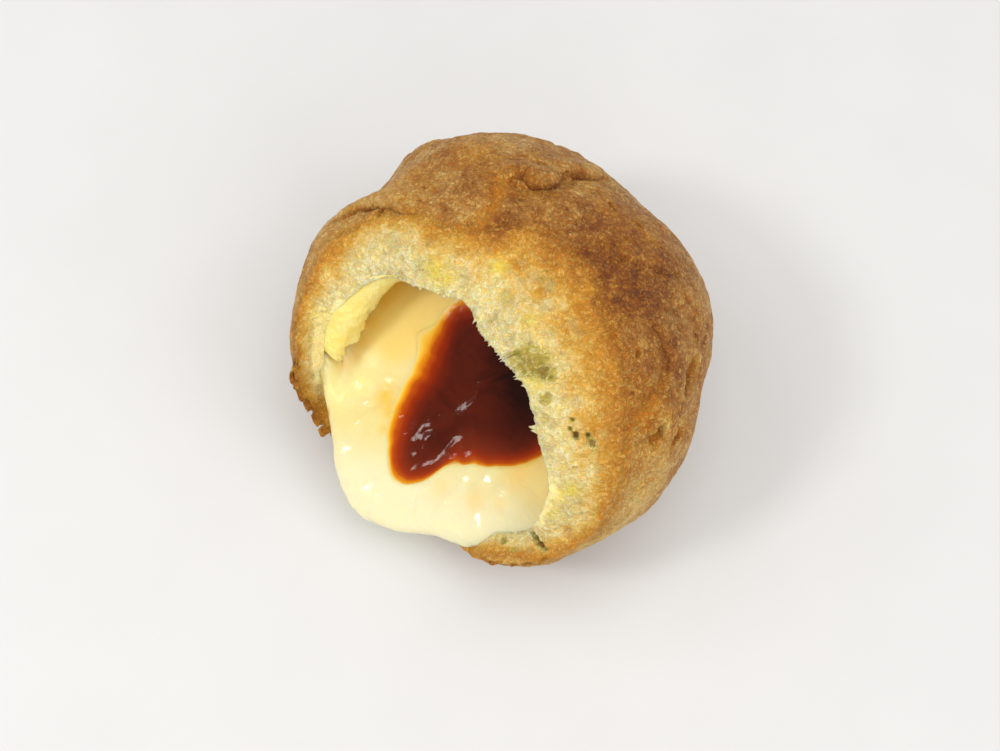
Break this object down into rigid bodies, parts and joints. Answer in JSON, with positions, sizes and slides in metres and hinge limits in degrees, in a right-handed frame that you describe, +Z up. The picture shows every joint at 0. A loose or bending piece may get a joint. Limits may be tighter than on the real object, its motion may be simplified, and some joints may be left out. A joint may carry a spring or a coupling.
{
  "type": "cream puff",
  "caption": "Round baked cream puff with a bite taken from its upper front left, showing the crumb wall, a custard filling that spills over the low lip and dark caramel on top.",
  "frame": {"origin": "middle of the flat foot, on the surface the puff stands on", "axes": "+Z up, +X to the right and +Y to the back as the bite is seen from the front; the bite faces -X and -Y"},
  "size_m": [0.0862, 0.09, 0.0571],
  "materials": {
    "choux": "dry baked golden brown crust, pale porous crumb where torn",
    "custard": "soft moist pale yellow custard",
    "caramel": "dark red brown glossy sauce, amber where thin"
  },
  "bodies": {
    "root": {"choux_shell": "choux", "custard": "custard", "caramel_sauce": "caramel"}
  },
  "joints": []
}
